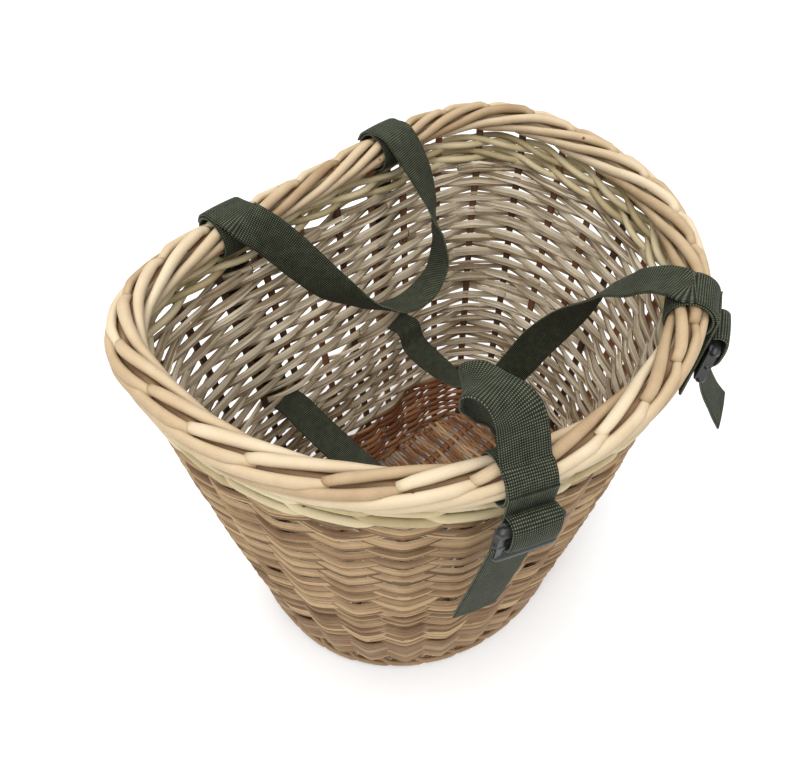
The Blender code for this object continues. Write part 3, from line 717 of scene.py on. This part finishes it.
def webbing(name, path, body, node):
    """A piece of webbing along rows of (x, y, z, across x, across y, across z, width), ribbed across."""
    rows, run = smooth_line(path, RIB_PITCH / 4)
    line = rows[:, :3]
    along = unit(np.gradient(line, axis=0))
    across = rows[:, 3:6]
    across = unit(across - along * np.sum(across * along, axis=1, keepdims=True))
    face = np.cross(along, across)
    profile = web_profile()
    width = rows[:, 6] * (1 + wander(run, 0.03, 0.008))
    rib = 1 + RIB_DEPTH * np.cos(2 * pi * run / RIB_PITCH)
    cup = CUPPING * (1 - (2 * profile[:, 0]) ** 2)
    ring = line[:, None] + across[:, None] * profile[None, :, :1] * width[:, None, None]
    ring = ring + face[:, None] * (profile[None, :, 1] * rib[:, None] + cup[None, :])[:, :, None]
    steps, sides = len(line), len(profile)
    here = np.arange(steps - 1)[:, None] * sides + np.arange(sides)
    there = np.arange(steps - 1)[:, None] * sides + (np.arange(sides) + 1) % sides
    faces = np.stack([here, there, there + sides, here + sides], axis=-1).reshape(-1, 4).tolist()
    faces.append(list(range(sides - 1, -1, -1)))
    faces.append(list(range((steps - 1) * sides, steps * sides)))
    mesh = bpy.data.meshes.new(name)
    mesh.from_pydata(ring.reshape(-1, 3).tolist(), [], faces)
    corners = np.empty(len(mesh.loops), dtype=np.int32)
    mesh.loops.foreach_get("vertex_index", corners)
    uv = np.stack(np.broadcast_arrays(run[:, None], profile[None, :, 0] * WEB_WIDTH), axis=-1).reshape(-1, 2)
    layer = mesh.uv_layers.new(name="along")
    layer.data.foreach_set("uv", uv[corners].astype(np.float32).ravel())
    mesh.polygons.foreach_set("use_smooth", np.full(len(mesh.polygons), True))
    mesh.materials.append(WEBBING)
    made = bpy.data.objects.new(name, mesh)
    bpy.context.scene.collection.objects.link(made)
    if body is not None:
        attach(made, body)
    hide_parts(node)
    return made


def rim_place(place):
    """(middle of the border, level direction out, direction along the rim) at one place."""
    here = np.array([place])
    out = level_out(here)[0]
    return rim_middle(here)[0], out, np.cross(UP, out) * -1


def rim_ring(name, node, place):
    """Webbing sewn round the border."""
    middle, out, along = rim_place(place)
    path = []
    for step in range(25):
        turn = 2 * pi * step / 24 - pi / 2
        path.append([*(middle + (out * cos(turn) + UP * sin(turn)) * RING_RADIUS), *along, WEB_WIDTH])
    return webbing(name, path, "basket", node)


for side in ("left", "right"):
    rim_ring(f"rim_webbing_back_{side}", f"rim_loop_back_{side}", BACK_PLACES[side])
    rim_ring(f"rim_webbing_front_{side}", f"rim_loop_front_{side}", FRONT_PLACES[side])

# Free run of each strap inside the basket, the CAD solid's route, with the direction of its width.
FREE_RUNS = {
    "left": [
        ((-0.0736, -0.1269, 0.3021), (0.91, -0.42, 0.00)),
        ((-0.0726, -0.1225, 0.3095), (0.94, -0.33, 0.00)),
        ((-0.0732, -0.1155, 0.3155), (0.98, -0.10, -0.12)),
        ((-0.0745, -0.1069, 0.3178), (0.92, 0.32, -0.20)),
        ((-0.0756, -0.0995, 0.3145), (0.80, 0.55, -0.25)),
        ((-0.0757, -0.0951, 0.3062), (0.73, 0.65, -0.22)),
        ((-0.0707, -0.0959, 0.2950), (0.71, 0.69, -0.15)),
        ((-0.0605, -0.1004, 0.2829), (0.75, 0.65, -0.10)),
        ((-0.0526, -0.1080, 0.2651), (0.95, 0.30, 0.00)),
        ((-0.0499, -0.1160, 0.2324), (1.00, 0.00, 0.00)),
        ((-0.0524, -0.1120, 0.1765), (1.00, 0.00, 0.00)),
        ((-0.0564, -0.0944, 0.1497), (1.00, 0.00, 0.00)),
        ((-0.0582, -0.0613, 0.1376), (1.00, 0.00, 0.00)),
        ((-0.0570, -0.0239, 0.1337), (1.00, 0.00, 0.00)),
        ((-0.0556, 0.0314, 0.1339), (1.00, 0.00, 0.00)),
    ],
    "right": [
        ((0.0722, -0.1168, 0.2885), (0.91, 0.42, 0.00)),
        ((0.0724, -0.1075, 0.2840), (0.89, 0.45, -0.10)),
        ((0.0708, -0.0966, 0.2750), (0.66, 0.64, -0.39)),
        ((0.0703, -0.0817, 0.2585), (0.47, 0.44, -0.76)),
        ((0.0675, -0.0669, 0.2285), (0.42, -0.18, -0.89)),
        ((0.0642, -0.0530, 0.1964), (0.23, -0.67, -0.70)),
        ((0.0621, -0.0443, 0.1700), (0.16, -0.89, -0.42)),
        ((0.0574, -0.0336, 0.1430), (0.47, -0.62, -0.62)),
        ((0.0524, -0.0114, 0.1278), (0.88, -0.10, -0.47)),
        ((0.0529, 0.0182, 0.1256), (1.00, 0.00, -0.10)),
        ((0.0549, 0.0425, 0.1278), (1.00, 0.00, 0.00)),
    ],
}
LEAVES_BORDER = {"left": 78, "right": 112}  # degrees round the border, from its outside over its top
STRAP_END_BELOW_ADJUSTER = 0.030
THROUGH_SLOT = (  # as (up from the slot, out of the wall)
    (0.0, -0.016),
    (0.0, 0.0),
    (0.0005, 0.0046),
    (0.0035, STRAP_OUTSIDE_WALL),
    (0.012, STRAP_OUTSIDE_WALL),
)


def on_back_wall(side, height, outwards):
    """A point beside the back wall, at one side's ring and slot."""
    points, _, out = wall_frame(np.array([BACK_PLACES[side]]), height)
    return points[0] + out[0] * outwards


def adjuster_axis(side):
    """(point on the adjuster's bar, direction along it, direction out)."""
    joint = JOINTS[f"tail_{side}_swing"]
    along = np.array(joint["axis"])
    return np.array(joint["pos_m"]), along, np.cross(along, UP) * -1


def strap(side):
    """From below the adjuster, over the border, through the inside, out of the slot and up the back wall."""
    middle, out, _ = rim_place(FRONT_PLACES[side])
    bar, along_bar, _ = adjuster_axis(side)
    across_front = along_bar if along_bar[0] > 0 else -along_bar
    bottom = middle + out * OVER_RING
    bottom[2] = bar[2] - STRAP_END_BELOW_ADJUSTER
    path = [[*bottom, *across_front, WEB_WIDTH]]
    for turn in np.radians(np.linspace(0, LEAVES_BORDER[side], 7)):
        path.append([*(middle + (out * cos(turn) + UP * sin(turn)) * OVER_RING), *across_front, WEB_WIDTH])
    free = FREE_RUNS[side]
    for number, (point, across) in enumerate(free):
        share = (number + 1) / len(free)
        path.append([*point, *across, WEB_WIDTH + (WEB_WIDTH_IN_SLOT - WEB_WIDTH) * share])
    for height, outwards in THROUGH_SLOT:
        path.append([*on_back_wall(side, SLOT_HEIGHT + height, outwards), *LEVEL, WEB_WIDTH_IN_SLOT])
    path.append([*on_back_wall(side, WALL_TOP - 0.002, STRAP_OUTSIDE_WALL), *LEVEL, WEB_WIDTH_IN_SLOT])
    return webbing(f"strap_webbing_{side}", path, "basket", f"strap_{side}")


for side in ("left", "right"):
    strap(side)

# The loop's route from ring to ring, measured from the axis it swings on, with the direction of its width.
CARRY_LOOP = [
    ((-0.0630, 0.0000, 0.0000), (1.0, 0.0, 0.0)),
    ((-0.0622, -0.0045, -0.0007), (0.99, 0.04, 0.10)),
    ((-0.0600, -0.0090, -0.0032), (0.96, 0.12, 0.22)),
    ((-0.0562, -0.0126, -0.0076), (0.92, 0.18, 0.33)),
    ((-0.0508, -0.0154, -0.0145), (0.88, 0.13, 0.42)),
    ((-0.0440, -0.0192, -0.0245), (0.80, 0.02, 0.55)),
    ((-0.0363, -0.0246, -0.0370), (0.66, -0.14, 0.70)),
    ((-0.0239, -0.0341, -0.0563), (0.32, -0.28, 0.90)),
    ((-0.0121, -0.0413, -0.0702), (-0.15, -0.37, 0.92)),
    ((0.0020, -0.0500, -0.0823), (-0.48, -0.44, 0.76)),
    ((0.0186, -0.0551, -0.0880), (-0.61, -0.71, 0.34)),
    ((0.0382, -0.0561, -0.0881), (-0.13, -0.97, 0.23)),
    ((0.0579, -0.0520, -0.0801), (-0.03, -0.84, 0.55)),
    ((0.0658, -0.0450, -0.0660), (-0.30, -0.65, 0.70)),
    ((0.0675, -0.0390, -0.0550), (-0.48, -0.44, 0.76)),
    ((0.0693, -0.0319, -0.0403), (-0.76, -0.20, 0.60)),
    ((0.0672, -0.0203, -0.0204), (-0.96, 0.0, 0.27)),
    ((0.0635, -0.0060, -0.0020), (-1.0, 0.0, 0.0)),
    ((0.0630, 0.0000, 0.0000), (-1.0, 0.0, 0.0)),
]


RIM_BACK = rim_place(BACK_PLACES["left"])[0][1]
SEWN_TURNS = (15.0, 40.0, 65.0, 88.0)  # degrees round the border where the loop lies on its rings


def carry_loop():
    """The loop that hangs inside, sewn to the two rings at the back."""
    axis = np.array(JOINTS["carry_loop_swing"]["pos_m"])
    sewn = []
    for turn in np.radians(SEWN_TURNS):
        spoke = np.array([0.0, cos(turn), sin(turn)])
        sewn.append(np.array([0.0, RIM_BACK, BORDER_MIDDLE]) + OVER_RING * spoke)
    (first, first_across), (last, last_across) = CARRY_LOOP[0], CARRY_LOOP[-1]
    path = [[*(point + LEVEL * first[0]), *first_across, WEB_WIDTH] for point in sewn]
    path += [[*(axis + place), *across, WEB_WIDTH] for place, across in CARRY_LOOP[1:-1]]
    path += [[*(point + LEVEL * last[0]), *last_across, WEB_WIDTH] for point in reversed(sewn)]
    made = webbing("carry_webbing", path, None, "carry_loop")
    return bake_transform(made)


carry_loop()

# Fold of each strap over its adjuster, as (outwards, upwards) from the adjuster's bar.
FOLD = (
    (-0.0026, 0.0172),
    (0.0008, 0.0184),
    (0.0046, 0.0166),
    (0.0058, 0.0110),
    (0.0058, 0.0050),
    (0.0050, 0.0002),
    (0.0026, -0.0026),
    (-0.0010, -0.0024),
)
TAIL_OUT = {"left": 0.0010, "right": 0.0000}  # outwards at the start
TAIL_LEAN = {"left": -0.02, "right": 0.50}  # outwards at the end, as a share of the fall
TAIL_DROP = 0.0050  # start below the bar
TAIL_START = {"left": -0.0065, "right": -0.0020}  # along the bar at the start
TAIL_TURN = {"left": 0.0, "right": 0.12}
TAIL_SIDEWAYS = {"left": -0.12, "right": 0.16}  # along the bar at the end, as a share of the fall
TAIL_REACH = {"left": 0.72, "right": 0.84}  # fall as a share of the CAD tail's
TAIL_CUT = {"left": 0.20, "right": 0.15}  # slope of the cut end
TAIL_STEPS = 7
LEAN_CURVE = 1.5
TURN_CURVE = 0.5
CUT_REACH = 0.012


def cut_end(made, end, along, slope):
    """Slants the last few millimetres of a hanging piece, so that one corner is lower than the other."""
    for corner in made.data.vertices:
        above = corner.co.z - end[2]
        if above < CUT_REACH:
            sideways = (corner.co - Vector(end)).dot(Vector(along))
            corner.co.z += slope * sideways * (1 - above / CUT_REACH)


def tail(side):
    """The strap's fold over its adjuster, and its free end, which comes out under the fold."""
    bar, along, out = adjuster_axis(side)
    along = along if along[0] > 0 else -along
    body, holder = f"tail_{side}", f"adjuster_{side}"
    node = f"strap_tail_{side}"
    fold = [[*(bar + out * outwards + UP * upwards), *along, WEB_WIDTH] for outwards, upwards in FOLD]
    webbing(f"fold_webbing_{side}", fold, holder, node)
    total = (bar[2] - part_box(node)[0].z) * TAIL_REACH[side]
    path = []
    for share in np.linspace(0.0, 1.0, TAIL_STEPS):
        outwards = TAIL_OUT[side] * (1 - share) + TAIL_LEAN[side] * total * share**LEAN_CURVE
        turn = TAIL_TURN[side] * share**TURN_CURVE
        across = along * cos(turn) + out * sin(turn)
        sideways = TAIL_START[side] + TAIL_SIDEWAYS[side] * total * share
        drop = TAIL_DROP + (total - TAIL_DROP) * share
        path.append([*(bar + out * outwards + along * sideways - UP * drop), *across, WEB_WIDTH])
    made = webbing(f"tail_webbing_{side}", path, None, node)
    cut_end(made, path[-1][:3], along, TAIL_CUT[side])
    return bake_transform(made)


for side in ("left", "right"):
    tail(side)


# ---------------------------------------------------------------- adjusters
ADJUSTER_ROUNDING = 0.0008
ADJUSTER_BARS = ((0.0105, 0.0030), (0.0, 0.0026), (-0.0105, 0.0030))  # (up from the middle bar, radius)
BAR_STEPS = 17
BAR_OUT = 0.0006


def adjuster_moulding(side):
    """The CAD frame with rounded edges, and three thick rounded bars over it."""
    shown = frame["nodes"][f"adjuster_{side}"]
    shown.data.materials.clear()
    shown.data.materials.append(PLASTIC)
    rounding = shown.modifiers.new("rounding", "BEVEL")
    rounding.width = ADJUSTER_ROUNDING
    rounding.segments = 3
    rounding.limit_method = "ANGLE"
    bar, along, out = adjuster_axis(side)
    rods = Rods()
    reach = (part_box(f"adjuster_{side}")[1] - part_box(f"adjuster_{side}")[0]).xy.length / 2
    for height, radius in ADJUSTER_BARS:
        share = np.linspace(-1.0, 1.0, BAR_STEPS)
        swell = np.sqrt(np.clip(1.0 - np.abs(share) ** 10, 0.0, 1.0)) * 0.999 + 0.001
        line = bar + along * (share * (reach - 0.0004))[:, None] + UP * height + out * BAR_OUT
        size = 2 * radius * swell
        up, outwards = np.tile(UP, (BAR_STEPS, 1)), np.tile(out, (BAR_STEPS, 1))
        rods.sweep(line, up, outwards, size, size, round_profile(16), 0.5)
    made = rods.make(f"adjuster_bars_{side}", PLASTIC, f"adjuster_{side}")
    return made


for side in ("left", "right"):
    adjuster_moulding(side)


# ---------------------------------------------------------------- floor, light and camera
STAGE_REACH = 6.0
STAGE_DROP = 0.0002


def stage():
    """A plain pale floor under the basket."""
    mesh = bpy.data.meshes.new("stage_floor")
    corners = [(x * STAGE_REACH, y * STAGE_REACH, 0) for x, y in ((-1, -1), (1, -1), (1, 1), (-1, 1))]
    mesh.from_pydata(corners, [], [(0, 1, 2, 3)])
    made, _, shader = new_material("stage_white")
    shader.inputs["Base Color"].default_value = (0.93, 0.93, 0.93, 1.0)
    shader.inputs["Roughness"].default_value = 0.9
    mesh.materials.append(made)
    floor = bpy.data.objects.new("stage_floor", mesh)
    bpy.context.scene.collection.objects.link(floor)
    floor.location.z = -STAGE_DROP


def soft_light(name, place, target, size, power):
    """A round area light aimed at a point."""
    light = bpy.data.lights.new(name, "AREA")
    light.shape = "DISK"
    light.size = size
    light.energy = power
    made = bpy.data.objects.new(name, light)
    made.location = place
    made.rotation_euler = (Vector(target) - Vector(place)).to_track_quat("-Z", "Y").to_euler()
    bpy.context.scene.collection.objects.link(made)


def studio():
    """White surroundings, a broad light from above, a key light from the left and a weak fill in front."""
    world = bpy.data.worlds.new("studio")
    world.use_nodes = True
    world.node_tree.nodes["Background"].inputs["Color"].default_value = (1.0, 1.0, 1.0, 1.0)
    world.node_tree.nodes["Background"].inputs["Strength"].default_value = 0.62
    bpy.context.scene.world = world
    middle = (0.0, 0.0, 0.15)
    soft_light("top", (0.0, 0.3, 2.4), middle, 2.4, 46.0)
    soft_light("key", (-1.3, -0.5, 1.8), middle, 0.9, 20.0)
    soft_light("fill", (0.2, -1.6, 1.2), middle, 1.2, 5.0)
    bpy.context.scene.view_settings.view_transform = "Standard"


CAMERA_TARGET = Vector((0.0160, 0.0338, 0.1308))
CAMERA_AZIMUTH = -47.06
CAMERA_ELEVATION = 49.56
CAMERA_ROLL = 2.51
CAMERA_DISTANCE = 0.5374
CAMERA_LENS = 32.93
CAMERA_SHIFT = (0.0058, -0.0188)


def camera():
    """The camera at the photograph's viewing angle."""
    azimuth, elevation = radians(CAMERA_AZIMUTH), radians(CAMERA_ELEVATION)
    back = Vector((sin(azimuth) * cos(elevation), -cos(azimuth) * cos(elevation), sin(elevation)))
    level_right = Vector((cos(azimuth), sin(azimuth), 0.0))
    level_up = back.cross(level_right)
    roll = radians(CAMERA_ROLL)
    right = level_right * cos(roll) + level_up * sin(roll)
    up = level_up * cos(roll) - level_right * sin(roll)
    data = bpy.data.cameras.new("camera")
    data.lens = CAMERA_LENS
    data.sensor_width = 36.0
    data.shift_x, data.shift_y = CAMERA_SHIFT
    made = bpy.data.objects.new("camera", data)
    facing = Matrix((right, up, back)).transposed().to_4x4()
    made.matrix_world = Matrix.Translation(CAMERA_TARGET + back * CAMERA_DISTANCE) @ facing
    bpy.context.scene.collection.objects.link(made)
    bpy.context.scene.camera = made


stage()
studio()
camera()
